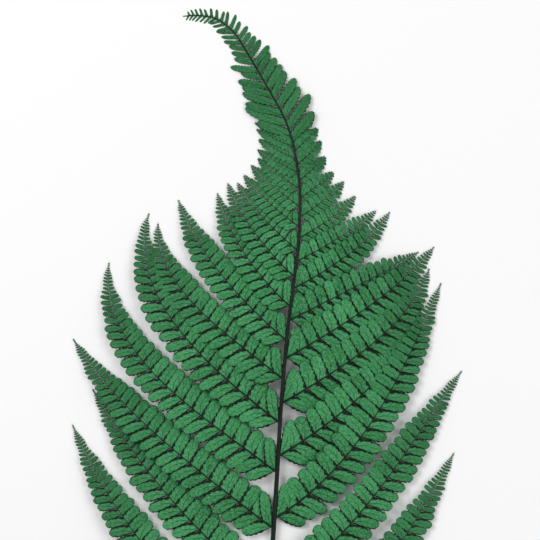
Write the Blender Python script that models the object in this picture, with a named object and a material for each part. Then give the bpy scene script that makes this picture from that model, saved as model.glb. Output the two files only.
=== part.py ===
"""A cut bracken frond, lying face up: a tapering stalk whose side shoots are cut to the rib in leaflets.

The origin is on the stalk's flat underside, where the leafy blade begins. +Y runs along the stalk to
the curled apex, +X is the frond's right as it is looked down on, and the surface it lies on is Z = 0.
A distance called "down" is measured along the stalk from the apex, because the frond's thickness,
its spacing and the length of its shoots all grow that way.
"""

import math

import bmesh
import bpy
from mathutils import Vector

# Driving dimensions, in metres, with angles in degrees
MM = 0.001
BLADE_LENGTH = 409 * MM
STIPE_LENGTH = 125 * MM
FLAT_REACH = 32 * MM
BLADE_ARCH = 9 * MM

# The stalk: an eight-sided tube with one flat side down
STALK_TIP_RADIUS = 0.25 * MM
STALK_TAPER = 0.0034
STALK_SIDES = 8
STALK_RING_GAP = 20 * MM
APEX_ROOT_DOWN = 94 * MM

# The leafy skin and the rib that stands out of it
LEAF_THICKNESS = 0.7 * MM
RIB_HALF_WIDTH = 0.8 * MM
RIB_HEIGHT = 0.5 * MM
RIB_LEAST = 0.45
RIB_TAPER = 0.6

# How far the stalk leans to the right of +Y in degrees, at millimetres down from the apex
STALK_LEAN = ((0, -97), (12, -84), (24, -52), (38, -31), (75, -29.5), (108, -10.5), (138, 1.2),
              (175, 8), (225, 5), (262, 3.2), (300, 3.6), (409, 3), (534, 1))

# Length of the side shoots in millimetres, at millimetres down from the apex, right (1) and left (-1)
SHOOT_LENGTH = {
    1: ((0, 2), (10, 4), (33, 8), (60, 13), (90, 18), (120, 20), (131, 24), (142, 32), (153, 40),
        (166, 53), (186, 72), (222, 104), (245, 113), (274, 120), (308, 162), (409, 165)),
    -1: ((0, 2), (10, 4), (33, 8), (60, 13), (75, 18), (90, 21), (110, 24), (126, 29), (136, 36),
         (147, 43), (160, 51), (186, 74), (222, 108), (255, 145), (283, 156), (349, 150), (409, 180))}

# The cut shoots of each side: the first one's place, the first gap, how much each gap grows near the
# apex, how many gaps grow so, and how much the later ones grow
RIGHT_SHOOTS = {"side": 1, "first": 97.8 * MM, "gap": 7.2 * MM, "early": 1.10, "changes": 7, "late": 1.18}
LEFT_SHOOTS = {"side": -1, "first": 96.7 * MM, "gap": 6.0 * MM, "early": 1.135, "changes": 7, "late": 1.135}

# How far each cut shoot bends up towards the apex, topmost first: soon after the stalk, near the tip
RIGHT_BENDS = ((6, 4), (8, 4), (6, 4), (5, 3), (5, 6), (8, 10), (4, 20), (6, 10), (16, 14), (-2, 6),
               (8, 14), (6, 37), (16, 34), (50, -14), (42, -20), (38, -8))
LEFT_BENDS = ((5, 3), (6, 4), (8, 4), (6, 4), (8, 4), (8, 6), (10, 8), (12, 10), (18, 12), (24, 12),
              (16, 16), (-4, 61), (10, 63), (-4, 67), (2, 19), (20, 2), (22, 8))
BEND_EARLY_POWER = 0.8
BEND_LATE_POWER = 3.0

# Angles between the stalk and what grows from it: the cut shoots, and the lobes at the very apex
SHOOT_ANGLE = 56
APEX_ANGLES = {1: 76, -1: 58}
APEX_ANGLE_SPAN = 120 * MM

# How a shoot rises from the stalk, falls to its tip and leans over the shoot below it
SHOOT_RISE = 0.045
SHOOT_RISE_POWER = 0.85
SHOOT_FALL_POWER = 1.4
TIP_HEIGHT = 0.35 * MM
ROOF_SLOPE = 0.14
SHINGLE_SLOPE = 0.17
LOBE_SLOPE = 0.07

# Leaflets: their length, their crowding and how they stand on the rib
LEAFLET_LONGEST = 13 * MM
LEAFLET_PER_GAP = 0.39
LEAFLET_LENGTHS = ((0, 1), (0.3, 1), (0.58, 0.88), (0.7, 0.7), (0.83, 0.42), (0.92, 0.2), (1, 0))
LEAFLET_SHORTEST = 1.2 * MM
PITCH_LEAST = 1.6 * MM
PITCH_PER_LENGTH = 0.75
LAST_CUT_FROM_TIP = 1.8
CLEAR_OF_STALK = 1.4 * MM
SLANT_LOWER = 57
SLANT_UPPER = 70
SLANT_OUTER = 77
SLANT_SETTLES = 0.4
TIP_INSET = 0.15
POINTED_BELOW = 3.4 * MM
ROUNDED_ABOVE = 12.2 * MM
SHOULDER = 0.84

# Lobes of the uncut apex
LOBE_LAST = 3 * MM
LOBE_PITCH_LEAST = 2.6 * MM
LOBE_PITCH_GROWTH = 0.06

LEAF_GREEN = (0.045, 0.18, 0.065, 1.0)
LEAF_ROUGHNESS = 0.75


def clear_scene():
    """Remove whatever the scene holds."""
    for thing in list(bpy.data.objects):
        bpy.data.objects.remove(thing)


def between(stations, x):
    """Value at x on a soft curve through (x, value) stations."""
    if x <= stations[0][0]:
        return stations[0][1]
    for (x0, v0), (x1, v1) in zip(stations, stations[1:]):
        if x <= x1:
            share = (x - x0) / (x1 - x0)
            share = share * share * (3 - 2 * share)
            return v0 + (v1 - v0) * share
    return stations[-1][1]


# The stalk's line and girth

def stalk_radius(down):
    """Radius of the stalk, which thickens steadily away from the apex."""
    return STALK_TIP_RADIUS + STALK_TAPER * down


def stalk_height(down):
    """Height of the stalk's centre: flat along the bare stem, then one low arch to the apex."""
    arched = BLADE_LENGTH - FLAT_REACH
    share = min(1.0, down / arched)
    flat_side = stalk_radius(down) * math.cos(math.pi / STALK_SIDES)
    return flat_side + BLADE_ARCH * math.sin(math.pi * share) ** 2


def trace_stalk():
    """Walk the centre line both ways from the blade's base; return {millimetres down: (x, y)}."""
    base = round(BLADE_LENGTH / MM)
    cut_end = round((BLADE_LENGTH + STIPE_LENGTH) / MM)
    places = {base: (0.0, 0.0)}
    for stop, way in ((0, -1), (cut_end, 1)):
        x, y = 0.0, 0.0
        for index in range(base, stop, way):
            lean = math.radians(between(STALK_LEAN, index + way * 0.5))
            x -= way * MM * math.sin(lean)
            y -= way * MM * math.cos(lean)
            places[index + way] = (x, y)
    return places


STALK_LINE = trace_stalk()


def stalk_point(down):
    """A point on the stalk's centre line and the heading there in radians, where 0 is +Y."""
    index = min(int(down / MM), max(STALK_LINE) - 1)
    share = down / MM - index
    x0, y0 = STALK_LINE[index]
    x1, y1 = STALK_LINE[index + 1]
    place = Vector((x0 + (x1 - x0) * share, y0 + (y1 - y0) * share, stalk_height(down)))
    return place, math.radians(between(STALK_LEAN, down / MM))


# The lines of the ribs

def shoot_angle(side, down):
    """Angle between stalk and shoot, wider near the apex and widest outside its curl."""
    share = min(1.0, down / APEX_ANGLE_SPAN)
    apex = APEX_ANGLES[side]
    return math.radians(apex + (SHOOT_ANGLE - apex) * share * share)


def shoot_rib(side, down, length, bends):
    """Centre line of one shoot, as (place, heading) each millimetre from the stalk's axis out."""
    early, late = bends
    start, stalk_heading = stalk_point(down)
    heading = stalk_heading + side * shoot_angle(side, down)
    count = round(length / MM)
    line = []
    x, y = start.x, start.y
    for index in range(count + 1):
        along = index / count
        bend = early * along ** BEND_EARLY_POWER + late * along ** BEND_LATE_POWER
        turned = heading - side * math.radians(bend)
        kept = (1 - along) ** SHOOT_FALL_POWER
        rise = SHOOT_RISE * length * math.sin(math.pi * along ** SHOOT_RISE_POWER)
        z = start.z * kept + TIP_HEIGHT * (1 - kept) + rise
        line.append((Vector((x, y, z)), turned))
        x += math.sin(turned) * length / count
        y += math.cos(turned) * length / count
    return line


def apex_rib(root_down):
    """The stalk's own line from a distance down to the apex, as (place, heading)."""
    steps = range(round(root_down / MM), -1, -1)
    return [stalk_point(step * MM) for step in steps]


def rib_at(line, share):
    """Place and heading at a share, 0 to 1, of a rib."""
    spot = min(share, 1.0) * (len(line) - 1)
    index = min(int(spot), len(line) - 2)
    part = spot - index
    place = line[index][0].lerp(line[index + 1][0], part)
    heading = line[index][1] + (line[index + 1][1] - line[index][1]) * part
    return place, heading


# One thin blade cut to its rib

def beside(place, heading, along, out):
    """A point so far along a heading and so far out to its right, at the same height."""
    x = place.x + math.sin(heading) * along + math.cos(heading) * out
    y = place.y + math.cos(heading) * along - math.sin(heading) * out
    return Vector((x, y, place.z))


class Skin:
    """A leafy skin: an upper sheet with a raised rib, a lower sheet without it, and a wall between."""

    def __init__(self):
        self.mesh = bmesh.new()

    def ridge(self, place, above):
        """Add a point of the raised rib, which only the upper sheet has."""
        lifted = Vector((place.x, place.y, max(place.z, LEAF_THICKNESS / 2)))
        lifted.z += LEAF_THICKNESS / 2 + above
        return self.mesh.verts.new(lifted), None

    def point(self, place):
        """Add a point of both sheets, never lower than the surface the frond lies on."""
        low = max(place.z - LEAF_THICKNESS / 2, 0.0)
        high = self.mesh.verts.new((place.x, place.y, low + LEAF_THICKNESS))
        return high, self.mesh.verts.new((place.x, place.y, low))

    def face(self, side, *corners, upper=True, lower=True):
        """Add a face to the sheets, given counter-clockwise for the rib's right-hand side."""
        ordered = corners if side > 0 else tuple(reversed(corners))
        if upper:
            self.mesh.faces.new([high for high, _ in ordered])
        if lower:
            self.mesh.faces.new([low for _, low in reversed(ordered)])

    def wall(self, *corners):
        """Close the edge between the sheets along a run of points."""
        for (high, low), (next_high, next_low) in zip(corners, corners[1:]):
            self.mesh.faces.new((high, low, next_low, next_high))

    def end(self, left, ridge, right):
        """Close the rib's root."""
        self.mesh.faces.new((left[0], ridge[0], right[0], right[1], left[1]))


def make_object(mesh, name):
    """Turn a bmesh into a named object with its faces pointing out."""
    bmesh.ops.recalc_face_normals(mesh, faces=mesh.faces)
    data = bpy.data.meshes.new(name)
    mesh.to_mesh(data)
    mesh.free()
    thing = bpy.data.objects.new(name, data)
    bpy.context.collection.objects.link(thing)
    return thing


def add_leaflet(skin, side, root, notches, length, slant, slope):
    """Cut one leaflet between two notches: pointed if short, blunt if longer, rounded if longest."""
    (near, heading), (far, _) = root
    pitch = (far - near).length

    def corner(part, reach):
        along = length * reach * math.cos(slant)
        out = RIB_HALF_WIDTH + length * reach * math.sin(slant)
        place = beside(near.lerp(far, part), heading, along, side * out)
        place.z += slope * out + (far.z - near.z) * along / pitch
        return skin.point(place)

    if length < POINTED_BELOW:
        end = [corner(0.5, 1.0)]
        skin.face(side, notches[0], end[0], notches[1])
    else:
        reach = SHOULDER if length > ROUNDED_ABOVE else 1.0
        end = [corner(TIP_INSET, reach), corner(1 - TIP_INSET, reach)]
        skin.face(side, notches[0], end[0], end[1])
        skin.face(side, notches[0], end[1], notches[1])
    if length > ROUNDED_ABOVE:
        end.insert(1, corner(0.5, 1.0))
        skin.face(side, *end)
    skin.wall(notches[0], *end, notches[1])


def cut_blade(name, line, length, cuts, rib_size, leaflet):
    """Build a blade along a rib; leaflet(number, side) gives each leaflet's length, slant and slope."""
    skin = Skin()
    stops = [0.0] + cuts
    last = len(stops) - 1
    places = [rib_at(line, stop / length) for stop in stops]
    sizes = [rib_size * (1 - RIB_TAPER * stop / length) for stop in stops]
    ridge = [skin.ridge(place, RIB_HEIGHT * size) for (place, _), size in zip(places, sizes)]
    tip = skin.point(rib_at(line, 1.0)[0])
    edges = {}
    for side in (1, -1):
        notches = [skin.point(beside(place, heading, 0.0, side * RIB_HALF_WIDTH * size))
                   for (place, heading), size in zip(places, sizes)]
        for index in range(last):
            corners = (notches[index], notches[index + 1])
            skin.face(side, ridge[index], *corners, ridge[index + 1], lower=False)
            if index > 0:
                add_leaflet(skin, side, places[index:index + 2], corners, *leaflet(index - 1, side))
        skin.face(side, ridge[last], notches[last], tip, lower=False)
        skin.wall(notches[0], notches[1])
        skin.wall(notches[last], tip)
        edges[side] = notches
    right, left = edges[1], edges[-1]
    for index in range(last):
        skin.face(1, left[index], right[index], right[index + 1], left[index + 1], upper=False)
    skin.face(1, left[last], right[last], tip, upper=False)
    skin.end(left[0], ridge[0], right[0])
    return make_object(skin.mesh, name)


# The side shoots and the apex

def leaflet_length(longest, share):
    """Leaflet length at a share of its rib: even over the inner half, then running to a point."""
    return max(LEAFLET_SHORTEST, longest * between(LEAFLET_LENGTHS, share))


def leaflet_cuts(length, first, longest):
    """Distances along a rib at which one leaflet ends and the next begins."""
    cuts = [first]
    while True:
        pitch = PITCH_LEAST + PITCH_PER_LENGTH * leaflet_length(longest, cuts[-1] / length)
        if cuts[-1] + LAST_CUT_FROM_TIP * pitch > length:
            return cuts
        cuts.append(cuts[-1] + pitch)


def leaflet_slant(is_upper, share):
    """Angle between a leaflet and its rib, on the side towards the apex or the side away from it."""
    root = SLANT_UPPER if is_upper else SLANT_LOWER
    return math.radians(root + (SLANT_OUTER - root) * min(1.0, share / SLANT_SETTLES))


def make_shoot(name, shoot_side, down, gap, bends):
    """Build one side shoot, whose left-hand row of leaflets lies over the shoot beside it."""
    length = between(SHOOT_LENGTH[shoot_side], down / MM) * MM
    longest = min(LEAFLET_LONGEST, LEAFLET_PER_GAP * gap)
    line = shoot_rib(shoot_side, down, length, bends)
    cuts = leaflet_cuts(length, stalk_radius(down) + CLEAR_OF_STALK, longest)

    def leaflet(number, side):
        share = (cuts[number] + cuts[number + 1]) / 2 / length
        slope = (SHINGLE_SLOPE if side < 0 else -SHINGLE_SLOPE) - ROOF_SLOPE
        return leaflet_length(longest, share), leaflet_slant(side != shoot_side, share), slope

    rib_size = max(RIB_LEAST, longest / LEAFLET_LONGEST)
    return cut_blade(name, line, length, cuts, rib_size, leaflet)


def make_shoots(name, shoots, all_bends):
    """Build the cut shoots of one side, each gap wider than the one above it."""
    pieces = []
    down = shoots["first"]
    gap = shoots["gap"]
    for number, bends in enumerate(all_bends, 1):
        pieces.append(make_shoot(f"{name}_{number}", shoots["side"], down, gap, bends))
        down += gap
        gap *= shoots["early"] if number < shoots["changes"] else shoots["late"]
    return pieces


def make_apex():
    """Build the apex, whose shoots are too short to be cut and stay whole lobes."""
    length = APEX_ROOT_DOWN
    cuts = [CLEAR_OF_STALK]
    while True:
        down = length - cuts[-1]
        pitch = LOBE_PITCH_LEAST + LOBE_PITCH_GROWTH * down
        if down - pitch < LOBE_LAST:
            break
        cuts.append(cuts[-1] + pitch)

    def lobe(number, side):
        down = length - (cuts[number] + cuts[number + 1]) / 2
        return between(SHOOT_LENGTH[side], down / MM) * MM, shoot_angle(side, down), -LOBE_SLOPE

    return cut_blade("apex", apex_rib(length), length, cuts, RIB_LEAST, lobe)


def make_stalk():
    """Build the bare and leafy length of the stalk as one tapering tube, flat side down."""
    mesh = bmesh.new()
    whole = BLADE_LENGTH + STIPE_LENGTH
    count = math.ceil((whole - APEX_ROOT_DOWN) / STALK_RING_GAP)
    rings = []
    for index in range(count + 1):
        down = whole + (APEX_ROOT_DOWN - whole) * index / count
        place, heading = stalk_point(down)
        radius = stalk_radius(down)
        ring = []
        for side in range(STALK_SIDES):
            turn = math.radians(360 / STALK_SIDES * (side + 0.5))
            point = beside(place, heading, 0.0, radius * math.sin(turn))
            point.z = max(0.0, place.z - radius * math.cos(turn))
            ring.append(mesh.verts.new(point))
        rings.append(ring)
    for ring, after in zip(rings, rings[1:]):
        for side in range(STALK_SIDES):
            step = (side + 1) % STALK_SIDES
            mesh.faces.new((ring[side], ring[step], after[step], after[side]))
    mesh.faces.new(rings[0])
    mesh.faces.new(rings[-1])
    return make_object(mesh, "bracken_frond")


# Growing it together

def join(stalk, pieces):
    """Fuse the shoots and the apex with the stalk in one union, then drop the pieces."""
    grown = bpy.data.collections.new("grown_from_stalk")
    bpy.context.scene.collection.children.link(grown)
    for piece in pieces:
        bpy.context.collection.objects.unlink(piece)
        grown.objects.link(piece)
    union = stalk.modifiers.new("grown together", "BOOLEAN")
    union.operation = "UNION"
    union.operand_type = "COLLECTION"
    union.collection = grown
    union.solver = "MANIFOLD"
    evaluated = stalk.evaluated_get(bpy.context.evaluated_depsgraph_get())
    joined = bpy.data.meshes.new_from_object(evaluated)
    stalk.modifiers.clear()
    stalk.data = joined
    for piece in pieces:
        bpy.data.objects.remove(piece)
    bpy.data.collections.remove(grown)


def keep_largest_body(frond):
    """Drop loose scraps and sealed hollows, which are bodies of their own in the joined mesh."""
    mesh = bmesh.new()
    mesh.from_mesh(frond.data)
    left = set(mesh.verts)
    bodies = []
    while left:
        body = set()
        border = [left.pop()]
        while border:
            vert = border.pop()
            body.add(vert)
            for edge in vert.link_edges:
                other = edge.other_vert(vert)
                if other in left:
                    left.remove(other)
                    border.append(other)
        bodies.append(body)
    bodies.sort(key=len)
    scraps = [vert for body in bodies[:-1] for vert in body]
    bmesh.ops.delete(mesh, geom=scraps, context="VERTS")
    mesh.to_mesh(frond.data)
    mesh.free()
    return len(bodies)


def leaf_material():
    """The frond's matte dyed green."""
    material = bpy.data.materials.new("leaf")
    material.use_nodes = True
    shader = material.node_tree.nodes["Principled BSDF"]
    shader.inputs["Base Color"].default_value = LEAF_GREEN
    shader.inputs["Roughness"].default_value = LEAF_ROUGHNESS
    return material


def main():
    """Build the frond."""
    clear_scene()
    stalk = make_stalk()
    pieces = make_shoots("right", RIGHT_SHOOTS, RIGHT_BENDS)
    pieces += make_shoots("left", LEFT_SHOOTS, LEFT_BENDS)
    pieces.append(make_apex())
    join(stalk, pieces)
    bodies = keep_largest_body(stalk)
    stalk.data.materials.clear()
    stalk.data.materials.append(leaf_material())
    count = sum(len(face.vertices) - 2 for face in stalk.data.polygons)
    print("bodies after the union:", bodies, "triangles:", count)


main()
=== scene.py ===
# %% [markdown]
# # A cut bracken frond, leaflet by leaflet
# A preserved bracken frond lies face up on a pale table: one tapering stalk, side shoots in two
# rows, and on every shoot two rows of leaflets that run down to a toothed point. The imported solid
# gives its size and its lie. This lesson grows the same ribs by the same rules and hangs the real
# number of leaflets on them.
#
# The solid comes first, as a fixed frame. Everything is in metres, +Y runs along the stalk to the
# apex, and a distance called "down" is measured along the stalk from the apex.

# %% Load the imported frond
import math

import bmesh
import bpy
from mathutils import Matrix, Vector


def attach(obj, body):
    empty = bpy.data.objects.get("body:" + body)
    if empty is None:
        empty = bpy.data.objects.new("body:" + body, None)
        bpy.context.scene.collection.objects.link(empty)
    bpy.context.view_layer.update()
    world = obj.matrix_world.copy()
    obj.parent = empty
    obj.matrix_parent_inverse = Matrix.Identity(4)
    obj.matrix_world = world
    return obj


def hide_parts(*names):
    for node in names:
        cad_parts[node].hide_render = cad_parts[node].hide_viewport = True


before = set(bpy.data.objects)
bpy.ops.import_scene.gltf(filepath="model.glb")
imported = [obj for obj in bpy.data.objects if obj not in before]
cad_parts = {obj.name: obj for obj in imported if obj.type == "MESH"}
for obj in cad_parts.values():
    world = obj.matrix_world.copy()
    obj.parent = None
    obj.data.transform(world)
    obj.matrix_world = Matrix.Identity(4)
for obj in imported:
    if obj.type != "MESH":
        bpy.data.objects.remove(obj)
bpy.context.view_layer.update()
MM = 0.001

# %% [markdown]
# ## Camera
# The picture looks straight down on the frond, with the apex at the top and the lower half of the
# frond out of view. A long lens from high above keeps the picture free of perspective, and because
# it is a real lens the same camera can be moved back for views of the whole frond.

# %% Camera
PICTURE_CENTRE = (3.4 * MM, 237.4 * MM)
PICTURE_WIDTH = 297 * MM
LEAF_LEVEL = 6 * MM
CAMERA_HEIGHT = 1.5
SENSOR_WIDTH = 36.0
FARTHEST_SEEN = 50.0


def add_camera():
    """Look straight down, with the picture's width set at the height of the leaves."""
    lens = bpy.data.cameras.new("camera")
    lens.sensor_width = SENSOR_WIDTH
    lens.lens = SENSOR_WIDTH * (CAMERA_HEIGHT - LEAF_LEVEL) / PICTURE_WIDTH
    lens.clip_end = FARTHEST_SEEN
    camera = bpy.data.objects.new("camera", lens)
    camera.location = (*PICTURE_CENTRE, CAMERA_HEIGHT)
    bpy.context.collection.objects.link(camera)
    bpy.context.scene.camera = camera
    return lens.lens


print("lens:", round(add_camera()), "mm")

# %% [markdown]
# ## The stalk's line
# The stalk isn't straight: it curls over to the left at the apex. It could be drawn as a curve by
# hand, but a rule is easier to change. Here the lean is known at a few stations, a soft curve runs
# between them, and the line is walked a millimetre at a time from the base of the leafy blade.

# %% Walk the stalk
BLADE_LENGTH = 409 * MM
STIPE_LENGTH = 125 * MM
STALK_LEAN = ((0, -97), (12, -84), (24, -52), (38, -31), (75, -29.5), (108, -10.5), (138, 1.2),
              (175, 8), (225, 5), (262, 3.2), (300, 3.6), (409, 3), (534, 1))


def between(stations, x):
    """Value at x on a soft curve through (x, value) stations."""
    if x <= stations[0][0]:
        return stations[0][1]
    for (x0, v0), (x1, v1) in zip(stations, stations[1:]):
        if x <= x1:
            share = (x - x0) / (x1 - x0)
            share = share * share * (3 - 2 * share)
            return v0 + (v1 - v0) * share
    return stations[-1][1]


def trace_stalk():
    """Walk the centre line both ways from the blade's base; return {millimetres down: (x, y)}."""
    base = round(BLADE_LENGTH / MM)
    cut_end = round((BLADE_LENGTH + STIPE_LENGTH) / MM)
    places = {base: (0.0, 0.0)}
    for stop, way in ((0, -1), (cut_end, 1)):
        x, y = 0.0, 0.0
        for index in range(base, stop, way):
            lean = math.radians(between(STALK_LEAN, index + way * 0.5))
            x -= way * MM * math.sin(lean)
            y -= way * MM * math.cos(lean)
            places[index + way] = (x, y)
    return places


stalk_line = trace_stalk()
print("apex at", [round(value / MM, 1) for value in stalk_line[0]], "mm")

# %% [markdown]
# The stalk thickens steadily from a thread at the apex to a pencil lead at the cut. It lies flat
# along the bare stem and lifts in one low arch under the leaves.

# %% Girth and height of the stalk
STALK_TIP_RADIUS = 0.25 * MM
STALK_TAPER = 0.0034
FLAT_SIDE = math.cos(math.pi / 8)
FLAT_REACH = 32 * MM
BLADE_ARCH = 9 * MM


def stalk_radius(down):
    """Radius of the stalk."""
    return STALK_TIP_RADIUS + STALK_TAPER * down


def stalk_point(down):
    """A point on the stalk's centre line and the heading there in radians, where 0 is +Y."""
    index = min(int(down / MM), max(stalk_line) - 1)
    share = down / MM - index
    x0, y0 = stalk_line[index]
    x1, y1 = stalk_line[index + 1]
    arched = min(1.0, down / (BLADE_LENGTH - FLAT_REACH))
    height = stalk_radius(down) * FLAT_SIDE + BLADE_ARCH * math.sin(math.pi * arched) ** 2
    place = Vector((x0 + (x1 - x0) * share, y0 + (y1 - y0) * share, height))
    return place, math.radians(between(STALK_LEAN, down / MM))


print("cut end:", round(2 * stalk_radius(BLADE_LENGTH + STIPE_LENGTH) / MM, 1), "mm thick")

# %% [markdown]
# ## The side shoots
# The shoots stand in two rows. Each gap is wider than the one above it by a steady factor, which is
# how a growing fern spaces them. A shoot leaves the stalk at about 56 degrees and bends up towards
# the apex: a little soon after the stalk, and more near its tip. It rises first, then sinks until
# its tip rests on the table.

# %% Grow the ribs
SHOOT_LENGTH = {
    1: ((0, 2), (10, 4), (33, 8), (60, 13), (90, 18), (120, 20), (131, 24), (142, 32), (153, 40),
        (166, 53), (186, 72), (222, 104), (245, 113), (274, 120), (308, 162), (409, 165)),
    -1: ((0, 2), (10, 4), (33, 8), (60, 13), (75, 18), (90, 21), (110, 24), (126, 29), (136, 36),
         (147, 43), (160, 51), (186, 74), (222, 108), (255, 145), (283, 156), (349, 150), (409, 180))}
RIGHT_ROW = {"side": 1, "first": 97.8 * MM, "gap": 7.2 * MM, "early": 1.10, "changes": 7, "late": 1.18}
LEFT_ROW = {"side": -1, "first": 96.7 * MM, "gap": 6.0 * MM, "early": 1.135, "changes": 7, "late": 1.135}
RIGHT_BENDS = ((6, 4), (8, 4), (6, 4), (5, 3), (5, 6), (8, 10), (4, 20), (6, 10), (16, 14), (-2, 6),
               (8, 14), (6, 37), (16, 34), (50, -14), (42, -20), (38, -8))
LEFT_BENDS = ((5, 3), (6, 4), (8, 4), (6, 4), (8, 4), (8, 6), (10, 8), (12, 10), (18, 12), (24, 12),
              (16, 16), (-4, 61), (10, 63), (-4, 67), (2, 19), (20, 2), (22, 8))
BEND_EARLY_POWER = 0.8
BEND_LATE_POWER = 3.0
SHOOT_ANGLE = 56
APEX_ANGLES = {1: 76, -1: 58}
APEX_ANGLE_SPAN = 120 * MM
SHOOT_RISE = 0.045
SHOOT_RISE_POWER = 0.85
SHOOT_FALL_POWER = 1.4
TIP_HEIGHT = 0.35 * MM


def shoot_angle(side, down):
    """Angle between stalk and shoot, wider near the apex and widest outside its curl."""
    share = min(1.0, down / APEX_ANGLE_SPAN)
    apex = APEX_ANGLES[side]
    return math.radians(apex + (SHOOT_ANGLE - apex) * share * share)


def shoot_rib(side, down, bends):
    """Centre line of one shoot, as (place, heading) about each millimetre from the stalk out."""
    early, late = bends
    length = between(SHOOT_LENGTH[side], down / MM) * MM
    start, stalk_heading = stalk_point(down)
    heading = stalk_heading + side * shoot_angle(side, down)
    count = round(length / MM)
    line = []
    x, y = start.x, start.y
    for index in range(count + 1):
        along = index / count
        bend = early * along ** BEND_EARLY_POWER + late * along ** BEND_LATE_POWER
        turned = heading - side * math.radians(bend)
        kept = (1 - along) ** SHOOT_FALL_POWER
        rise = SHOOT_RISE * length * math.sin(math.pi * along ** SHOOT_RISE_POWER)
        line.append((Vector((x, y, start.z * kept + TIP_HEIGHT * (1 - kept) + rise)), turned))
        x += math.sin(turned) * length / count
        y += math.cos(turned) * length / count
    return line


def grow_row(row, all_bends):
    """List the cut shoots of one row, topmost first."""
    shoots = []
    down, gap = row["first"], row["gap"]
    for number, bends in enumerate(all_bends, 1):
        line = shoot_rib(row["side"], down, bends)
        shoots.append({"side": row["side"], "down": down, "gap": gap, "line": line,
                       "length": between(SHOOT_LENGTH[row["side"]], down / MM) * MM})
        down += gap
        gap *= row["early"] if number < row["changes"] else row["late"]
    return shoots


right_shoots = grow_row(RIGHT_ROW, RIGHT_BENDS)
left_shoots = grow_row(LEFT_ROW, LEFT_BENDS)
print("shoots:", len(right_shoots), "right,", len(left_shoots), "left")

# %% [markdown]
# ## A pattern for one leaflet
# More than a thousand leaflets share one pattern, so it has fewer than a hundred faces. It is drawn
# on a unit square: X runs across the leaflet from -1 to 1, Y from its root at 0 to its tip at 1, and
# Z tells the upper face (1) from the edge (0). The upper face is a shallow gutter with rolled edges,
# a flat side closes it below, and the outline carries small blunt teeth. The outline's edges are
# marked sharp, so that the rolled edge doesn't shade into the underside.
#
# The midrib starts at the corner of the root that is nearer the stalk, and swings to the middle. The
# columns follow it, and each point keeps the number of its column, for the veins to be drawn on.

# %% Draw the leaflet
ACROSS = ((-1.0, 0.0), (-0.68, 1.0), (0.0, 0.82), (0.68, 1.0), (1.0, 0.0))
LEAFLET_OUTLINE = ((0.0, 1.0), (0.15, 0.97), (0.35, 1.0), (0.6, 0.98), (0.76, 0.92),
                   (0.86, 0.8), (0.93, 0.62), (0.97, 0.45), (1.0, 0.22))
LOBE_OUTLINE = ((0.0, 1.0), (0.1, 0.96), (0.25, 0.92), (0.5, 1.0), (0.74, 0.98),
                (0.86, 0.85), (0.94, 0.6), (1.0, 0.24))
MIDRIB_STARTS = -0.75
MIDRIB_CENTRED = 0.35
LEAFLET_ROWS = 11
LEAFLET_TOOTH = 0.08
LOBE_ROWS = 17
LOBE_TOOTH = 0.13
ROWS_CLOSER_AT_TIP = 1.15
TOOTH_GROWTH = 3.0


def draw_pattern(name, outline, rows, tooth):
    """Build a closed leaflet on the unit square, with one tooth for every two rows."""
    mesh = bmesh.new()
    column_number = mesh.verts.layers.float.new("across")
    grid = []
    for row in range(rows + 1):
        share = 1 - (1 - row / rows) ** ROWS_CLOSER_AT_TIP
        wide = between(outline, share)
        toothed = wide * (1 + (tooth if row % 2 else -tooth) * min(1.0, TOOTH_GROWTH * share))
        swing = between(((0, MIDRIB_STARTS), (MIDRIB_CENTRED, 0)), share)
        line = []
        for across, lift in ACROSS:
            swung = across + swing * (1 - abs(across))
            vert = mesh.verts.new((swung * (wide if lift else toothed), share, lift))
            vert[column_number] = across
            line.append(vert)
        grid.append(line)
    for low, high in zip(grid, grid[1:]):
        for column in range(len(ACROSS) - 1):
            face = mesh.faces.new((low[column], low[column + 1], high[column + 1], high[column]))
            face.smooth = True
        mesh.faces.new((low[-1], low[0], high[0], high[-1]))
    mesh.faces.new(reversed(grid[0]))
    mesh.faces.new(grid[-1])
    outer = {vert for line in grid for vert in (line[0], line[-1])} | set(grid[0]) | set(grid[-1])
    for edge in mesh.edges:
        edge.smooth = not all(vert in outer for vert in edge.verts)
    data = bpy.data.meshes.new(name)
    mesh.to_mesh(data)
    mesh.free()
    print(name, "pattern:", len(data.polygons), "faces")
    return bpy.data.objects.new(name, data)


leaflet_pattern = draw_pattern("leaflet", LEAFLET_OUTLINE, LEAFLET_ROWS, LEAFLET_TOOTH)
lobe_pattern = draw_pattern("lobe", LOBE_OUTLINE, LOBE_ROWS, LOBE_TOOTH)

# %% [markdown]
# ## Where each leaflet stands
# Leaflets stand in pairs. Their length is even over the inner third of a rib and then runs out to a
# point, and their spacing follows their length. The row towards the apex stands steeper than the row
# away from it, and the first leaflet of that row is the largest and stands almost along the stalk.
# On the right of this frond the upper row lies over the shoot above, on the left the lower row lies
# over the shoot below, so one of the two rows is level and the other is tucked under.
#
# Modelling a thousand leaflets by hand, or scattering them at random, would lose that order. Here
# each leaflet is one point with a few numbers on it, and a point mesh with named attributes carries
# them to Geometry Nodes. Blades are a little wider than their share of the rib, so that neighbours
# meet, and "gap" tells the finish how much of each edge lies in shade. The short ones near a tip are
# narrower and stand apart. The uppermost shoots are the youngest: their leaflets haven't parted yet
# and show only as teeth and fine slits.

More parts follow.
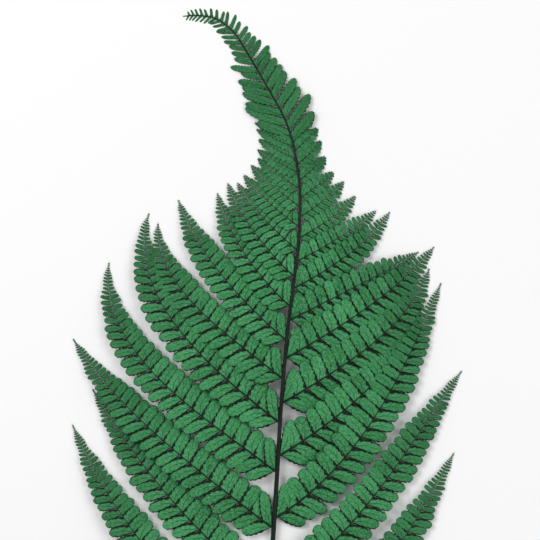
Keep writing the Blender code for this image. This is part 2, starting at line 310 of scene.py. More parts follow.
# %% Number the leaflets
LEAFLET_LONGEST = {"upper": 12.6 * MM, "lower": 14 * MM}
LEAFLET_PER_GAP = {"upper": 0.47, "lower": 0.53}
LEAFLET_LENGTHS = ((0, 1), (0.3, 1), (0.58, 0.88), (0.7, 0.7), (0.83, 0.42), (0.92, 0.2), (1, 0))
LEAFLET_SHORTEST = 0.5 * MM
PITCH_LEAST = 0.65 * MM
PITCH_PER_LENGTH = 0.45
PITCH_WIDER_AT_STALK = 0.16
WIDER_OVER = 0.4
ATTACHED = {"upper": 0.98, "lower": 0.86}
CLEAR_OF_STALK = 0.3 * MM
SLANT_ROOT = {"upper": 62, "lower": 58}
SLANT_OUTER = {"upper": 90, "lower": 74}
SLANT_SETTLES = 0.14
FIRST_UPPER = {"longer": 1.3, "slant": 56}
ROOM_FOR_LAST = 1.2
GAP = {"upper": 0.17, "lower": 0.27}
ON_TOP = {1: "upper", -1: "lower"}
SLOPE_ON_TOP = -0.01
SLOPE_TUCKED = -0.27
TOOTH_LENGTH = 3 * MM
FULL_LENGTH = 9 * MM
LEAFLET_FULLNESS = ((0, 0.55), (TOOTH_LENGTH, 0.72), (FULL_LENGTH, 1.07))
GAP_PER_LENGTH = ((TOOTH_LENGTH, 0.35), (FULL_LENGTH, 1.0))
# Painted shade: leaflets darken from this share of a rib out to its tip, and in the youngest shoots.
PAINTED_DIM_FROM = 0.35
YOUNG_GAP = (7 * MM, 16 * MM)
FUSED_FULLNESS = 1.08
GAP_LOST = 0.62
YOUNG_PAINTED_DIM = 0.45

NUMBERS = ("heading", "side", "reach", "base", "blade", "slant", "slope", "climb", "gap", "painted_dim")


def rib_at(line, share):
    """Place and heading at a share, 0 to 1, of a rib."""
    spot = min(share, 1.0) * (len(line) - 1)
    index = min(int(spot), len(line) - 2)
    part = spot - index
    place = line[index][0].lerp(line[index + 1][0], part)
    heading = line[index][1] + (line[index + 1][1] - line[index][1]) * part
    return place, heading


def shoot_leaflets(shoot):
    """Every leaflet of one shoot, as (root, numbers)."""
    line, length, side = shoot["line"], shoot["length"], shoot["side"]
    longest = {row: min(LEAFLET_LONGEST[row], LEAFLET_PER_GAP[row] * shoot["gap"])
               for row in LEAFLET_LONGEST}
    leaflets = []
    cut = stalk_radius(shoot["down"]) + CLEAR_OF_STALK
    first = True
    young = between(((YOUNG_GAP[0], 1), (YOUNG_GAP[1], 0)), shoot["gap"])
    while True:
        fading = between(LEAFLET_LENGTHS, cut / length)
        typical = max(LEAFLET_SHORTEST, fading * (longest["upper"] + longest["lower"]) / 2)
        pitch = PITCH_LEAST + PITCH_PER_LENGTH * typical
        pitch *= 1 + PITCH_WIDER_AT_STALK * max(0.0, 1 - cut / length / WIDER_OVER)
        if cut + ROOM_FOR_LAST * pitch > length:
            return leaflets
        share = (cut + pitch / 2) / length
        near, far = rib_at(line, cut / length)[0], rib_at(line, (cut + pitch) / length)[0]
        for row in ("upper", "lower"):
            base = ATTACHED[row] * pitch / 2
            root, heading = rib_at(line, (cut + base) / length)
            reach = max(LEAFLET_SHORTEST, fading * longest[row])
            slant = between(((0, SLANT_ROOT[row]), (SLANT_SETTLES, SLANT_OUTER[row])), share)
            slope = SLOPE_ON_TOP if row == ON_TOP[side] else SLOPE_TUCKED
            if first and row == "upper":
                reach *= FIRST_UPPER["longer"]
                slant = FIRST_UPPER["slant"]
                slope = SLOPE_ON_TOP
            slant = math.radians(slant)
            fullness = between(LEAFLET_FULLNESS, reach)
            fullness += (FUSED_FULLNESS - fullness) * young
            gap = GAP[row] * between(GAP_PER_LENGTH, reach) * (1 - GAP_LOST * young)
            leaflets.append((root, {
                "heading": heading, "side": -side if row == "upper" else side, "reach": reach,
                "base": base, "blade": fullness * pitch / 2 * math.sin(slant), "slant": slant,
                "slope": slope, "climb": (far.z - near.z) / pitch, "gap": gap,
                # Painted shade, darkest at the tip of a rib and on the youngest shoots.
                "painted_dim": max(YOUNG_PAINTED_DIM * young, between(((PAINTED_DIM_FROM, 0), (1, 1)), share))}))
        first = False
        cut += pitch


def point_object(name, spots):
    """A mesh of loose points that carries the leaflets' numbers as attributes."""
    data = bpy.data.meshes.new(name)
    data.from_pydata([root for root, _ in spots], [], [])
    for number in NUMBERS:
        attribute = data.attributes.new(number, "FLOAT", "POINT")
        attribute.data.foreach_set("value", [numbers[number] for _, numbers in spots])
    thing = bpy.data.objects.new(name, data)
    bpy.context.collection.objects.link(thing)
    return thing


right_spots = [spot for shoot in right_shoots for spot in shoot_leaflets(shoot)]
left_spots = [spot for shoot in left_shoots for spot in shoot_leaflets(shoot)]
print("leaflets:", len(right_spots), "right,", len(left_spots), "left")

# %% [markdown]
# ## Lobes of the apex
# Above the first cut shoot the shoots are too short to be cut into leaflets and stay whole lobes.
# They are set straight on the stalk: fine separate fingers in the curl, broad toothed lobes below.

# %% Number the lobes
APEX_ROOT_DOWN = 97 * MM
LOBE_LAST = 2.5 * MM
LOBE_PITCH_LEAST = 1.9 * MM
LOBE_PITCH_GROWTH = 0.05
LOBE_FULLNESS = ((0, 0.5), (20, 0.6), (45, 0.8), (65, 1.0))
LOBE_ATTACHED = 0.86
LOBE_SLOPE = -0.07
LOBE_GAP = 0.1
# Painted shade on the lobes of the apex.
LOBE_PAINTED_DIM = 0.8


def apex_lobes():
    """Both rows of lobes, as (root, numbers)."""
    lobes = []
    for side in (1, -1):
        down = APEX_ROOT_DOWN if side > 0 else APEX_ROOT_DOWN - LOBE_PITCH_LEAST
        while down > LOBE_LAST:
            pitch = LOBE_PITCH_LEAST + LOBE_PITCH_GROWTH * down
            root, heading = stalk_point(down)
            slant = shoot_angle(side, down)
            fullness = between(LOBE_FULLNESS, down / MM)
            lobes.append((root, {
                "heading": heading, "side": side, "reach": between(SHOOT_LENGTH[side], down / MM) * MM,
                "base": LOBE_ATTACHED * pitch / 2, "blade": fullness * pitch / 2 * math.sin(slant),
                "slant": slant, "slope": LOBE_SLOPE, "gap": LOBE_GAP, "painted_dim": LOBE_PAINTED_DIM,
                "climb": (stalk_point(max(0.0, down - pitch))[0].z - root.z) / pitch}))
            down -= pitch
    return lobes


lobe_spots = apex_lobes()
print("lobes:", len(lobe_spots))

# %% [markdown]
# ## Colours
# The frond was dyed, so its green is even and matte, a little greyer where light catches the grain
# and greenish black in the stalk. Colours are named as they look on screen and turned into the linear
# values that Blender mixes.

# %% Name the colours


def paint(red, green, blue):
    """A linear colour from the 0 to 255 values seen on screen."""
    def linear(value):
        value /= 255
        return value / 12.92 if value <= 0.04045 else ((value + 0.055) / 1.055) ** 2.4
    return (linear(red), linear(green), linear(blue), 1.0)


LEAF_MID = paint(42, 122, 66)
LEAF_LIGHT = paint(80, 162, 106)
LEAF_DEEP = paint(24, 96, 44)
# A dark green: painted shade on outer and young leaflets, and the real green of thin young ribs.
DIM_AND_YOUNG_GREEN = paint(24, 72, 38)
# Near black painted shade along leaflet edges, standing in for the shade between leaflets.
PAINTED_GAP_SHADE = paint(2, 24, 10)
LEAF_VEIN = paint(20, 78, 40)
LEAF_UNDER = paint(96, 140, 104)
RIB_DULL = paint(24, 36, 26)
RIB_GREEN = paint(4, 26, 14)
STALK_DARK = paint(3, 10, 6)
STALK_TEAL = paint(20, 40, 31)
STALK_LINE = paint(60, 68, 50)
PITH = paint(150, 128, 88)
BUNDLE = paint(44, 34, 22)
FLOOR_WHITE = (0.93, 0.93, 0.93, 1.0)

# %% [markdown]
# ## Small helpers for node trees
# Materials and Geometry Nodes are both node trees. One helper adds a node and fills or links its
# inputs, another chains arithmetic, and a third blends between two edges.

# %% Node helpers


def add_node(tree, kind, inputs=None, **options):
    """Add a node, set its options, and give each input a value or a link."""
    node = tree.nodes.new(kind)
    for option, value in options.items():
        setattr(node, option, value)
    for key, value in (inputs or {}).items():
        if isinstance(value, bpy.types.NodeSocket):
            tree.links.new(value, node.inputs[key])
        else:
            node.inputs[key].default_value = value
    return node


def calc(tree, operation, *values):
    """One step of arithmetic on numbers or sockets."""
    inputs = dict(enumerate(values))
    return add_node(tree, "ShaderNodeMath", inputs, operation=operation).outputs[0]


def fade(tree, value, start, end, low=0.0, high=1.0):
    """A soft step from low to high as a value goes from start to end."""
    inputs = {0: value, 1: start, 2: end, 3: low, 4: high}
    return add_node(tree, "ShaderNodeMapRange", inputs, interpolation_type="SMOOTHSTEP").outputs[0]


# %% [markdown]
# ## The leaf's finish
# A bracken leaflet has one midrib and close side veins that run forward to the edge, and a dry,
# slightly grainy skin. Its edges carry a near black painted shade where leaflets meet, standing in
# for the shade between them, and painted shade darkens the leaflets towards the end of each rib and
# in the youngest shoots. The underside is paler. A picture could show that, but numbers on the mesh
# do it at any size: every point knows how far across and along its leaflet it is, and whether it is
# on the upper face. The veins are waves on those numbers, each ends in a tooth of the edge, the grain
# is noise in the object's own space, and each leaflet has its own random tone.

# %% Leaf material
VEIN_SPACING = 3.0 * MM
VEIN_FORWARD = 2.0
VEIN_WANDER = 1.2
VEIN_DARKENS = 0.32
VEIN_SINKS = 0.4
MIDRIB_HALF = (0.03, 0.12)
MIDRIB_DARKENS = 0.8
# Softness of the painted shade along leaflet edges.
GAP_SHADE_SOFT = (-0.07, 0.03)
TOOTH_BITE = 0.07
WANDER_SCALE = 230.0
MOTTLE_SCALE = 42.0
GRAIN_SCALE = 850.0
GRAIN_RAISES = 0.9
GRAIN_LIGHTENS = 0.62
SHADE_LIGHTENS = 0.38
# How far the painted shade darkens the outermost leaflets.
PAINTED_DIM_MOST = 0.6
UNDER_PALER = 0.4
LEAF_ROUGH = (0.62, 0.82)
LEAF_GLOSS = 0.25
LEAF_RELIEF = {"Strength": 0.8, "Distance": 0.25 * MM}


def mix_colour(tree, factor, first, second):
    """Mix two colours."""
    node = tree.nodes.new("ShaderNodeMix")
    node.data_type = "RGBA"
    for index, value in ((0, factor), (6, first), (7, second)):
        if isinstance(value, bpy.types.NodeSocket):
            tree.links.new(value, node.inputs[index])
        else:
            node.inputs[index].default_value = value
    return node.outputs[2]


def new_material(name):
    """A material, its tree and its shader."""
    material = bpy.data.materials.new(name)
    material.use_nodes = True
    return material, material.node_tree, material.node_tree.nodes["Principled BSDF"]


def attribute(tree, name):
    """Read one number that the mesh carries."""
    return add_node(tree, "ShaderNodeAttribute", attribute_name=name).outputs["Fac"]


def noise(tree, scale, detail=3.0):
    """Noise in the object's own space, where the scale is in lumps a metre."""
    where = add_node(tree, "ShaderNodeTexCoord").outputs["Object"]
    inputs = {"Vector": where, "Scale": scale, "Detail": detail}
    return add_node(tree, "ShaderNodeTexNoise", inputs).outputs["Fac"]


def leaf_material():
    """Matte dyed green with veins, grain and painted shade at the edges and towards the rib ends."""
    material, tree, shader = new_material("leaf")
    across = calc(tree, "ABSOLUTE", attribute(tree, "across"))
    along = attribute(tree, "along")
    travelled = calc(tree, "MULTIPLY", along, attribute(tree, "reach"))
    phase = calc(tree, "SUBTRACT", calc(tree, "DIVIDE", travelled, VEIN_SPACING),
                 calc(tree, "MULTIPLY", across, VEIN_FORWARD))
    phase = calc(tree, "ADD", phase, calc(tree, "MULTIPLY", noise(tree, WANDER_SCALE), VEIN_WANDER))
    wave = calc(tree, "SINE", calc(tree, "MULTIPLY", phase, 2 * math.pi))
    side_vein = fade(tree, wave, 0.2, 1.0)
    midrib = calc(tree, "MULTIPLY", fade(tree, across, *MIDRIB_HALF, 1.0, 0.0),
                  fade(tree, along, 0.1, 0.9, 1.0, 0.3))
    widening = fade(tree, along, 0.0, 0.8, 1.3, 0.7)
    # Painted shade along each leaflet's edges where neighbours meet: its width follows the gap number,
    # it is ragged with the veins and it fades at the tip.
    edge = calc(tree, "SUBTRACT", 1.0, calc(tree, "MULTIPLY", attribute(tree, "gap"), widening))
    edge = calc(tree, "ADD", edge, calc(tree, "MULTIPLY", wave, TOOTH_BITE))
    gap_shade = fade(tree, calc(tree, "SUBTRACT", across, edge), *GAP_SHADE_SOFT)
    gap_shade = calc(tree, "MULTIPLY", gap_shade, fade(tree, along, 0.84, 0.96, 1.0, 0.4))
    mottle = noise(tree, MOTTLE_SCALE)
    grain = noise(tree, GRAIN_SCALE, 5.0)
    shade = attribute(tree, "shade")

    colour = mix_colour(tree, fade(tree, mottle, 0.35, 0.65), LEAF_DEEP, LEAF_MID)
    lit = calc(tree, "ADD", calc(tree, "MULTIPLY", fade(tree, grain, 0.36, 0.64), GRAIN_LIGHTENS),
               calc(tree, "MULTIPLY", shade, SHADE_LIGHTENS))
    colour = mix_colour(tree, lit, colour, LEAF_LIGHT)
    # Painted shade towards the end of each rib, on the youngest shoots and on the apex.
    dim_share = calc(tree, "MULTIPLY", attribute(tree, "painted_dim"), PAINTED_DIM_MOST)
    colour = mix_colour(tree, dim_share, colour, DIM_AND_YOUNG_GREEN)
    colour = mix_colour(tree, calc(tree, "MULTIPLY", side_vein, VEIN_DARKENS), colour, LEAF_VEIN)
    colour = mix_colour(tree, calc(tree, "MULTIPLY", midrib, MIDRIB_DARKENS), colour, LEAF_VEIN)
    under = fade(tree, attribute(tree, "lift"), 0.0, 0.1, UNDER_PALER, 0.0)
    under = calc(tree, "MULTIPLY", under, fade(tree, along, 0.03, 0.12))
    colour = mix_colour(tree, under, colour, LEAF_UNDER)
    # The painted shade at the edges goes on last.
    colour = mix_colour(tree, gap_shade, colour, PAINTED_GAP_SHADE)
    tree.links.new(colour, shader.inputs["Base Color"])
    tree.links.new(fade(tree, grain, 0.3, 0.7, *LEAF_ROUGH), shader.inputs["Roughness"])
    shader.inputs["Specular IOR Level"].default_value = LEAF_GLOSS

    height = calc(tree, "ADD", calc(tree, "MULTIPLY", side_vein, -VEIN_SINKS),
                  calc(tree, "MULTIPLY", grain, GRAIN_RAISES))
    height = calc(tree, "SUBTRACT", height, midrib)
    bump = add_node(tree, "ShaderNodeBump", {**LEAF_RELIEF, "Height": height})
    tree.links.new(bump.outputs[0], shader.inputs["Normal"])
    return material


leaf = leaf_material()
print("leaf material:", len(leaf.node_tree.nodes), "nodes")

# %% [markdown]
# ## The finish of stalk and ribs
# The stalk dries almost black with a low gloss, and the dye leaves a green-blue bloom on it. The
# ribs are the same tissue, duller, and greener where they are thin and young. Both are
# striped along their length by fine fibres, so noise is stretched along each tube: the mesh says how
# far along and around it a point is, and how thick the tube is there.
#
# Bracken breathes through a pale line down each side of its stalk. The line fades out where the
# stalk is thin. The cut face at the bottom shows pale pith with dark bundles, so points past the
# last ring but one take a colour of their own.

# %% Stalk and rib materials
FIBRES_AROUND = 9.0
FIBRES_ALONG = 60.0
FIBRE_GLOSS = 0.2
FIBRE_RELIEF = {"Strength": 0.5, "Distance": 0.15 * MM}
ROUGH_SPREAD = 0.2
PATCH_SCALE = 55.0
YOUNG_GIRTH = (0.08 * MM, 0.26 * MM)
YOUNG_GREEN = 0.85
LINE_AT = 0.58
LINE_HALF = (0.02, 0.07)
LINE_PALE = 0.5
LINE_GIRTH = (0.7 * MM, 1.1 * MM)
BUNDLE_SCALE = 1300.0
CUT_FACE = BLADE_LENGTH + STIPE_LENGTH - 0.05 * MM


def fibre_material(name, dark, light, rough):
    """Dark fibrous tissue between two colours, greener where it is thin and young."""
    material, tree, shader = new_material(name)
    around = calc(tree, "MULTIPLY", attribute(tree, "around"), FIBRES_AROUND)
    onward = calc(tree, "MULTIPLY", attribute(tree, "onward"), FIBRES_ALONG)
    where = add_node(tree, "ShaderNodeCombineXYZ", {0: around, 1: onward}).outputs[0]
    fibre = add_node(tree, "ShaderNodeTexNoise", {"Vector": where, "Scale": 1.0, "Detail": 4.0})
    fibre = fibre.outputs["Fac"]
    patch = noise(tree, PATCH_SCALE)
    mixed = calc(tree, "ADD", calc(tree, "MULTIPLY", fibre, 0.5), calc(tree, "MULTIPLY", patch, 0.5))
    colour = mix_colour(tree, fade(tree, mixed, 0.42, 0.6), dark, light)
    young = fade(tree, attribute(tree, "girth"), *YOUNG_GIRTH, YOUNG_GREEN, 0.0)
    colour = mix_colour(tree, young, colour, DIM_AND_YOUNG_GREEN)
    beside = calc(tree, "ABSOLUTE", calc(tree, "SUBTRACT", attribute(tree, "around"), LINE_AT))
    line = calc(tree, "MULTIPLY", fade(tree, beside, *LINE_HALF, LINE_PALE, 0.0),
                fade(tree, attribute(tree, "girth"), *LINE_GIRTH))
    line = calc(tree, "MULTIPLY", line, fade(tree, patch, 0.35, 0.5))
    colour = mix_colour(tree, line, colour, STALK_LINE)
    cut = calc(tree, "GREATER_THAN", attribute(tree, "onward"), CUT_FACE)
    bundles = fade(tree, noise(tree, BUNDLE_SCALE, 0.0), 0.56, 0.62)
    colour = mix_colour(tree, cut, colour, mix_colour(tree, bundles, PITH, BUNDLE))
    tree.links.new(colour, shader.inputs["Base Color"])
    tree.links.new(fade(tree, fibre, 0.3, 0.7, rough, rough + ROUGH_SPREAD), shader.inputs["Roughness"])
    shader.inputs["Specular IOR Level"].default_value = FIBRE_GLOSS
    bump = add_node(tree, "ShaderNodeBump", {**FIBRE_RELIEF, "Height": fibre})
    tree.links.new(bump.outputs[0], shader.inputs["Normal"])
    return material


stalk_finish = fibre_material("stalk", STALK_DARK, STALK_TEAL, rough=0.38)
rib_finish = fibre_material("rib", RIB_GREEN, RIB_DULL, rough=0.5)

# %% [markdown]
# ## A node tree that sets the leaflets
# Geometry Nodes put a copy of the pattern on every point. The copies aren't turned or scaled there:
# they are realized first, and each carries its point's numbers. Then one formula bends every copy
# from the unit square to its place. At the root its rows lie along the rib, and further out they
# turn square to the leaflet, which no plain turn and scale could do. Random draws have a fixed seed.

# %% Build the leaflet tree
SQUARE_FROM = 0.35
ARCH_PER_BLADE = 0.2
BURIED = 0.25 * MM
BURIED_PER_BASE = 0.2
LOWEST = 0.05 * MM


def new_tree(name, sizes):
    """A Geometry Nodes tree with a geometry in and out and named sizes; return it and its sockets."""
    tree = bpy.data.node_groups.new(name, "GeometryNodeTree")
    tree.interface.new_socket("Geometry", in_out="INPUT", socket_type="NodeSocketGeometry")
    tree.interface.new_socket("Geometry", in_out="OUTPUT", socket_type="NodeSocketGeometry")
    for label, kind, value in sizes:
        socket = tree.interface.new_socket(label, in_out="INPUT", socket_type=f"NodeSocket{kind}")
        if value is not None:
            socket.default_value = value
    return tree, tree.nodes.new("NodeGroupInput").outputs


def carried(tree, name, kind="FLOAT"):
    """A number or vector that the geometry carries."""
    node = add_node(tree, "GeometryNodeInputNamedAttribute", {"Name": name}, data_type=kind)
    return node.outputs["Attribute"]


def carry(tree, geometry, name, value, kind="FLOAT"):
    """Store a value on the geometry's points."""
    inputs = {"Geometry": geometry, "Name": name, "Value": value}
    node = add_node(tree, "GeometryNodeStoreNamedAttribute", inputs, data_type=kind, domain="POINT")
    return node.outputs[0]


def draw(tree, seed, step, low=-1.0, high=1.0):
    """A random draw for each point; the step keeps one draw apart from the next."""
    shifted = calc(tree, "ADD", seed, step)
    inputs = {2: low, 3: high, "Seed": shifted}
    return add_node(tree, "FunctionNodeRandomValue", inputs, data_type="FLOAT").outputs[1]


def leaflet_tree():
    """Set a pattern on every point and bend it to its place."""
    tree, sizes = new_tree("set leaflets", (
        ("Pattern", "Object", None), ("Bend", "Float", 0.2), ("Droop", "Float", 0.05),
        ("Length variation", "Float", 0.06), ("Turn variation", "Float", 0.07),
        ("Roll variation", "Float", 0.1), ("Roll", "Float", 0.0), ("Seed", "Int", 1),
        ("Material", "Material", None)))
    points = carry(tree, sizes["Geometry"], "root",
                   add_node(tree, "GeometryNodeInputPosition").outputs[0], "FLOAT_VECTOR")
    grown = calc(tree, "MULTIPLY", draw(tree, sizes["Seed"], 0), sizes["Length variation"])
    reach = calc(tree, "MULTIPLY", carried(tree, "reach"), calc(tree, "ADD", grown, 1.0))
    points = carry(tree, points, "reach", reach)
    turned = calc(tree, "MULTIPLY", draw(tree, sizes["Seed"], 1), sizes["Turn variation"])
    points = carry(tree, points, "slant", calc(tree, "ADD", carried(tree, "slant"), turned))
    rolled = calc(tree, "MULTIPLY", draw(tree, sizes["Seed"], 2), sizes["Roll variation"])
    points = carry(tree, points, "roll", calc(tree, "ADD", sizes["Roll"], rolled))
    points = carry(tree, points, "shade", draw(tree, sizes["Seed"], 3, 0.0, 1.0))

    pattern = add_node(tree, "GeometryNodeObjectInfo", {"Object": sizes["Pattern"]}).outputs["Geometry"]
    copies = add_node(tree, "GeometryNodeInstanceOnPoints", {"Points": points, "Instance": pattern})
    real = add_node(tree, "GeometryNodeRealizeInstances", {"Geometry": copies.outputs[0]}).outputs[0]

    here = add_node(tree, "GeometryNodeInputPosition").outputs[0]
    local = add_node(tree, "ShaderNodeVectorMath", {0: here, 1: carried(tree, "root", "FLOAT_VECTOR")},
                     operation="SUBTRACT").outputs[0]
    wide, along, lift = add_node(tree, "ShaderNodeSeparateXYZ", {0: local}).outputs
    real = carry(tree, real, "along", along)
    real = carry(tree, real, "lift", lift)
    slant, base, blade, reach = (carried(tree, name) for name in ("slant", "base", "blade", "reach"))
    bent = calc(tree, "MULTIPLY", along, sizes["Bend"])
    aim = calc(tree, "SUBTRACT", slant, calc(tree, "MULTIPLY", bent, 0.5))
    gone = calc(tree, "MULTIPLY", reach, along)
    square = fade(tree, along, 0.0, SQUARE_FROM)
    tilt = calc(tree, "SUBTRACT", calc(tree, "SUBTRACT", slant, bent), math.pi / 2)
    tilt = calc(tree, "MULTIPLY", tilt, square)
    narrowed = calc(tree, "MULTIPLY", calc(tree, "SUBTRACT", blade, base), square)
    off = calc(tree, "MULTIPLY", wide, calc(tree, "ADD", base, narrowed))
    ahead = calc(tree, "ADD", calc(tree, "MULTIPLY", gone, calc(tree, "COSINE", aim)),
                 calc(tree, "MULTIPLY", off, calc(tree, "COSINE", tilt)))
    out = calc(tree, "ADD", calc(tree, "MULTIPLY", gone, calc(tree, "SINE", aim)),
               calc(tree, "MULTIPLY", off, calc(tree, "SINE", tilt)))
    sunk = calc(tree, "MINIMUM", BURIED, calc(tree, "MULTIPLY", base, BURIED_PER_BASE))
    out = calc(tree, "ADD", out, sunk)

    thick = calc(tree, "MULTIPLY", calc(tree, "MULTIPLY", lift, blade),
                 fade(tree, along, 0.0, SQUARE_FROM, ARCH_PER_BLADE / 3, ARCH_PER_BLADE))
    sag = calc(tree, "MULTIPLY", calc(tree, "MULTIPLY", gone, along), sizes["Droop"])
    rise = calc(tree, "ADD", calc(tree, "MULTIPLY", carried(tree, "slope"), out),
                calc(tree, "MULTIPLY", carried(tree, "climb"), ahead))
    rise = calc(tree, "ADD", rise, calc(tree, "MULTIPLY", carried(tree, "roll"),
                                        calc(tree, "MULTIPLY", off, square)))
    root_x, root_y, root_z = add_node(
        tree, "ShaderNodeSeparateXYZ", {0: carried(tree, "root", "FLOAT_VECTOR")}).outputs
    level = calc(tree, "SUBTRACT", calc(tree, "ADD", root_z, rise), sag)
    level = calc(tree, "ADD", calc(tree, "MAXIMUM", level, LOWEST), thick)

    east = calc(tree, "SINE", carried(tree, "heading"))
    north = calc(tree, "COSINE", carried(tree, "heading"))
    sideways = calc(tree, "MULTIPLY", out, carried(tree, "side"))
    x = calc(tree, "ADD", root_x, calc(tree, "ADD", calc(tree, "MULTIPLY", east, ahead),
                                       calc(tree, "MULTIPLY", north, sideways)))
    y = calc(tree, "ADD", root_y, calc(tree, "SUBTRACT", calc(tree, "MULTIPLY", north, ahead),
                                       calc(tree, "MULTIPLY", east, sideways)))
    place = add_node(tree, "ShaderNodeCombineXYZ", {0: x, 1: y, 2: level}).outputs[0]
    real = add_node(tree, "GeometryNodeSetPosition", {"Geometry": real, "Position": place}).outputs[0]
    mirrored = calc(tree, "GREATER_THAN", carried(tree, "side"), 0.0)
    real = add_node(tree, "GeometryNodeFlipFaces", {0: real, 1: mirrored}).outputs[0]
    real = add_node(tree, "GeometryNodeSetMaterial", {"Geometry": real, "Material": sizes["Material"]})
    add_node(tree, "NodeGroupOutput", {0: real.outputs[0]})
    return tree


leaflet_setter = leaflet_tree()
print("leaflet tree:", len(leaflet_setter.nodes), "nodes")

# %% [markdown]
# A modifier runs the tree on the points. Its inputs are set by the socket's own identifier, and the
# result is copied out as a plain mesh, so nothing live is left on the piece.

# %% Set the leaflets


def grow(carrier, tree, name, **values):
    """Run a tree on an object, keep the result as a plain mesh and drop the object."""
    maker = carrier.modifiers.new(tree.name, "NODES")
    maker.node_group = tree
    sockets = {item.name: item.identifier for item in tree.interface.items_tree
               if item.in_out == "INPUT"}
    for label, value in values.items():
        maker[sockets[label.replace("_", " ")]] = value
    evaluated = carrier.evaluated_get(bpy.context.evaluated_depsgraph_get())
    mesh = bpy.data.meshes.new_from_object(evaluated)
    bpy.data.objects.remove(carrier)
    mesh.name = name
    piece = bpy.data.objects.new(name, mesh)
    bpy.context.collection.objects.link(piece)
    print(name, "has", sum(len(face.vertices) - 2 for face in mesh.polygons), "triangles")
    return piece


leaflets_right = grow(point_object("right points", right_spots), leaflet_setter, "leaflets_right",
                      Pattern=leaflet_pattern, Seed=11, Material=leaf)
leaflets_left = grow(point_object("left points", left_spots), leaflet_setter, "leaflets_left",
                     Pattern=leaflet_pattern, Seed=23, Material=leaf)
lobes = grow(point_object("lobe points", lobe_spots), leaflet_setter, "apex_lobes",
             Pattern=lobe_pattern, Seed=5, Bend=0.3, Length_variation=0.16, Turn_variation=0.1,
             Roll_variation=0.2, Material=leaf)
for pattern in (leaflet_pattern, lobe_pattern):
    bpy.data.objects.remove(pattern)

# %% [markdown]
# ## Ribs and stalk
# A rib is a thin tube that tapers to nothing. Each is a chain of points, and the tree turns the
# chain into a curve and sweeps a small ring along it. The ring has a groove on top and a flat side
# below, because bracken's stalk is grooved and it lies on its flat side.

# %% Build the tube tree
RING_SIDES = 12


def tube_tree():
    """Sweep a grooved ring along chains of points that carry their girth."""
    tree, sizes = new_tree("sweep tubes", (
        ("Groove", "Float", 0.3), ("Groove width", "Float", 0.5), ("Flat", "Float", FLAT_SIDE),
        ("Material", "Material", None)))
    curve = add_node(tree, "GeometryNodeMeshToCurve", {0: sizes["Geometry"]}).outputs[0]
    curve = add_node(tree, "GeometryNodeSetCurveNormal", {"Curve": curve}, mode="Z_UP").outputs[0]
    ring = add_node(tree, "GeometryNodeCurvePrimitiveCircle", {"Resolution": RING_SIDES, "Radius": 1.0})
    here = add_node(tree, "GeometryNodeInputPosition").outputs[0]
    x, y, _ = add_node(tree, "ShaderNodeSeparateXYZ", {0: here}).outputs
    on_top = calc(tree, "GREATER_THAN", x, 0.0)
    dip = fade(tree, calc(tree, "ABSOLUTE", y), 0.0, sizes["Groove width"], sizes["Groove"], 0.0)
    sunk = calc(tree, "SUBTRACT", x, calc(tree, "MULTIPLY", dip, on_top))
    sunk = calc(tree, "MAXIMUM", sunk, calc(tree, "MULTIPLY", sizes["Flat"], -1.0))
    around = calc(tree, "ARCTAN2", calc(tree, "ABSOLUTE", y), x)
    ring = carry(tree, ring.outputs[0], "around", calc(tree, "DIVIDE", around, math.pi))
    # The sweep points a ring's Y down, so the ring, drawn with X as up, is turned a quarter.
    downward = calc(tree, "MULTIPLY", sunk, -1.0)
    shaped = add_node(tree, "ShaderNodeCombineXYZ", {0: y, 1: downward}).outputs[0]
    ring = add_node(tree, "GeometryNodeSetPosition", {"Geometry": ring, "Position": shaped}).outputs[0]
    tube = add_node(tree, "GeometryNodeCurveToMesh", {
        "Curve": curve, "Profile Curve": ring, "Scale": carried(tree, "girth"),
        "Fill Caps": True}).outputs[0]
    tube = add_node(tree, "GeometryNodeSetShadeSmooth", {"Geometry": tube}).outputs[0]
    tube = add_node(tree, "GeometryNodeRealizeInstances", {"Geometry": tube}).outputs[0]
    tube = add_node(tree, "GeometryNodeSetMaterial", {"Geometry": tube, "Material": sizes["Material"]})
    add_node(tree, "NodeGroupOutput", {0: tube.outputs[0]})
    return tree


tube_maker = tube_tree()
print("tube tree:", len(tube_maker.nodes), "nodes")

# %% [markdown]
# The chains come straight from the rules above. A rib starts inside the stalk, lies just proud of
# its leaflets and thins out to its tip. The stalk runs in one piece from the apex to the cut.

# %% Sweep ribs and stalk
RIB_RADIUS = 0.5 * MM
RIB_LEAST = 0.4
RIB_TAPER = 0.88
RIB_PROUD = 0.35 * MM
RIB_SWELL = 0.45
RIB_SWELL_LENGTH = 5 * MM
STALK_STEP = 2 * MM


def chain_object(name, chains):
    """A mesh of chains of points, each point as (place, girth, distance onward)."""
    places, links, girths, onward = [], [], [], []
    for chain in chains:
        links += [(len(places) + step, len(places) + step + 1) for step in range(len(chain) - 1)]
        places += [place for place, _, _ in chain]
        girths += [girth for _, girth, _ in chain]
        onward += [distance for _, _, distance in chain]
    data = bpy.data.meshes.new(name)
    data.from_pydata(places, links, [])
    data.attributes.new("girth", "FLOAT", "POINT").data.foreach_set("value", girths)
    data.attributes.new("onward", "FLOAT", "POINT").data.foreach_set("value", onward)
    thing = bpy.data.objects.new(name, data)
    bpy.context.collection.objects.link(thing)
    return thing


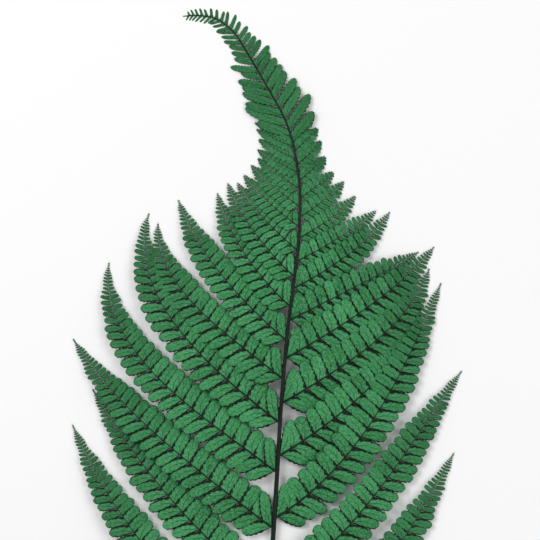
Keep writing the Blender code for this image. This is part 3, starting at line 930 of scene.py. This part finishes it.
def rib_chain(shoot):
    """One rib: (place, girth, distance onward) from the stalk to the tip."""
    size = max(RIB_LEAST, min(1.0, LEAFLET_PER_GAP["lower"] * shoot["gap"] / LEAFLET_LONGEST["lower"]))
    last = len(shoot["line"]) - 1
    chain = []
    for index, (place, _) in enumerate(shoot["line"]):
        share = index / last
        onward = share * shoot["length"]
        swollen = 1 + RIB_SWELL * math.exp(-onward / RIB_SWELL_LENGTH)
        girth = RIB_RADIUS * size * (1 - RIB_TAPER * share) * swollen
        chain.append((place + Vector((0.0, 0.0, RIB_PROUD * size * (1 - share))), girth, onward))
    return chain


def stalk_chain():
    """The stalk: (place, girth, distance onward) from the apex to the cut end."""
    count = round((BLADE_LENGTH + STIPE_LENGTH) / STALK_STEP)
    return [(stalk_point(step * STALK_STEP)[0], stalk_radius(step * STALK_STEP), step * STALK_STEP)
            for step in range(count + 1)]


ribs = grow(chain_object("rib lines", [rib_chain(shoot) for shoot in right_shoots + left_shoots]),
            tube_maker, "ribs", Material=rib_finish)
stalk = grow(chain_object("stalk line", [stalk_chain()]), tube_maker, "stalk", Material=stalk_finish)

# %% [markdown]
# ## Light and floor
# The frond lies on a plain pale floor. An even white sky alone would flatten the leaflets, so a
# stronger soft lamp stands at the upper left and a weaker one at the right: together they show the
# gutters and the grain, and leave only a faint shadow round the frond. The plain Standard view keeps
# the floor white and the named colours as they were named.

# %% Light and floor
SKY_STRENGTH = 0.55
FLOOR_HALF = 6.0
FLOOR_ROUGH = 0.9
SOFT_LAMPS = (("key lamp", (-0.9, 0.9, 1.3), 13.0, 0.8), ("fill lamp", (1.0, 0.1, 1.2), 6.0, 0.8))


def add_lamp(name, place, power, size):
    """A square soft lamp aimed at the middle of the picture."""
    lamp = bpy.data.lights.new(name, "AREA")
    lamp.energy = power
    lamp.size = size
    holder = bpy.data.objects.new(name, lamp)
    holder.location = place
    aim = Vector((*PICTURE_CENTRE, 0.0)) - Vector(place)
    holder.rotation_euler = aim.to_track_quat("-Z", "Y").to_euler()
    bpy.context.collection.objects.link(holder)


def add_floor():
    """A wide pale floor."""
    mesh = bmesh.new()
    bmesh.ops.create_grid(mesh, x_segments=1, y_segments=1, size=FLOOR_HALF)
    data = bpy.data.meshes.new("floor")
    mesh.to_mesh(data)
    mesh.free()
    floor = bpy.data.objects.new("floor", data)
    bpy.context.collection.objects.link(floor)
    material, _, shader = new_material("floor")
    shader.inputs["Base Color"].default_value = FLOOR_WHITE
    shader.inputs["Roughness"].default_value = FLOOR_ROUGH
    data.materials.append(material)


add_floor()
world = bpy.data.worlds.new("sky")
world.use_nodes = True
sky = world.node_tree.nodes["Background"]
sky.inputs["Color"].default_value = (1.0, 1.0, 1.0, 1.0)
sky.inputs["Strength"].default_value = SKY_STRENGTH
bpy.context.scene.world = world
for spot in SOFT_LAMPS:
    add_lamp(*spot)
bpy.context.scene.view_settings.view_transform = "Standard"

# %% [markdown]
# ## Hand the pieces over
# The frond is one body, so all five pieces ride on it and together stand in for its one solid.

# %% Give each piece its body and hide the solid
for piece, slot in ((leaflets_right, "leaf"), (leaflets_left, "leaf"), (lobes, "leaf"),
                    (ribs, "stalk"), (stalk, "stalk")):
    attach(piece, "root")
    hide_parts("bracken_frond")
